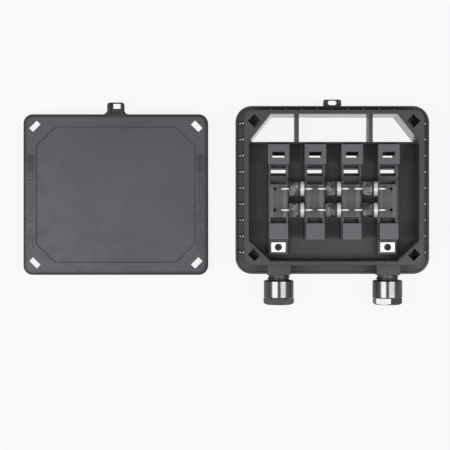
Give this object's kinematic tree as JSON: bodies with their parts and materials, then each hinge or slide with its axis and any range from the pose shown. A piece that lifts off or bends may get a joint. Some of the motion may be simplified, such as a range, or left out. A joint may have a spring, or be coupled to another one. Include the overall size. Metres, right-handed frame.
{
  "type": "pv junction box",
  "caption": "Open junction box for a solar panel's back, with contact rails, axial bypass diodes, cable clamps and glands, its clip-on lid lying beside it.",
  "frame": {"origin": "centre of the flange's back face", "axes": "+Z out of the panel towards the open side, cables leave along -Y, the lid lies on the -X side"},
  "size_m": [0.2414, 0.122, 0.0224],
  "materials": {
    "housing_black": "fine-grained moulded black",
    "lid_black": "fine-grained moulded black, satin",
    "seal_rubber": "matte black",
    "carrier_grey": "moulded dark grey",
    "rail_metal": "dark dull plating",
    "diode_black": "moulded epoxy with a light band at one end",
    "tinned_wire": "bright tin",
    "clamp_tinned": "bright tinned, dull",
    "screw_black": "black oxide",
    "claw_black": "moulded black",
    "nut_black": "glossy moulded black"
  },
  "bodies": {
    "box": {"base_housing": "housing_black", "lid": "lid_black", "lid_seal": "seal_rubber", "terminal_carrier_1": "carrier_grey", "terminal_carrier_2": "carrier_grey", "terminal_carrier_3": "carrier_grey", "terminal_carrier_4": "carrier_grey", "contact_rail_1": "rail_metal", "contact_rail_2": "rail_metal", "contact_rail_3": "rail_metal", "contact_rail_4": "rail_metal", "diode_far_1_body": "diode_black", "diode_far_1_leads": "tinned_wire", "diode_far_2_body": "diode_black", "diode_far_2_leads": "tinned_wire", "diode_far_3_body": "diode_black", "diode_far_3_leads": "tinned_wire", "diode_near_1_body": "diode_black", "diode_near_1_leads": "tinned_wire", "diode_near_2_body": "diode_black", "diode_near_2_leads": "tinned_wire", "diode_near_3_body": "diode_black", "diode_near_3_leads": "tinned_wire", "clamp_cup_left": "carrier_grey", "clamp_block_left": "clamp_tinned", "gland_grommet_left": "seal_rubber", "clamp_cup_right": "carrier_grey", "clamp_block_right": "clamp_tinned", "gland_grommet_right": "seal_rubber"},
    "set_screw_left": {"set_screw_left": "screw_black"},
    "gland_claw_left": {"gland_claw_left": "claw_black"},
    "gland_nut_left": {"gland_nut_left": "nut_black"},
    "set_screw_right": {"set_screw_right": "screw_black"},
    "gland_claw_right": {"gland_claw_right": "claw_black"},
    "gland_nut_right": {"gland_nut_right": "nut_black"}
  },
  "joints": [
    {"name": "gland_claw_left_slide", "type": "slide", "parent": "box", "child": "gland_claw_left", "axis": [0, 1, 0], "range_m": [0, 0.00251]},
    {"name": "gland_nut_left_turn", "type": "hinge", "parent": "gland_claw_left", "child": "gland_nut_left", "pos_m": [-0.0322, -0.06, 0.011], "axis": [0, 1, 0], "range_deg": [0, 450]},
    {"name": "set_screw_left_turn", "type": "hinge", "parent": "box", "child": "set_screw_left", "pos_m": [-0.0324, -0.034, 0.009], "axis": [0, 0, -1], "range_deg": [0, 720]},
    {"name": "gland_claw_right_slide", "type": "slide", "parent": "box", "child": "gland_claw_right", "axis": [0, 1, 0], "range_m": [0, 0.00251]},
    {"name": "gland_nut_right_turn", "type": "hinge", "parent": "gland_claw_right", "child": "gland_nut_right", "pos_m": [0.0322, -0.06, 0.011], "axis": [0, 1, 0], "range_deg": [0, 450]},
    {"name": "set_screw_right_turn", "type": "hinge", "parent": "box", "child": "set_screw_right", "pos_m": [0.0324, -0.034, 0.009], "axis": [0, 0, -1], "range_deg": [0, 720]}
  ],
  "couplings": [
    {"joint": "gland_claw_left_slide", "follows": "gland_nut_left_turn", "m_per_rad": 0.00031831},
    {"joint": "gland_claw_right_slide", "follows": "gland_nut_right_turn", "m_per_rad": 0.00031831}
  ]
}
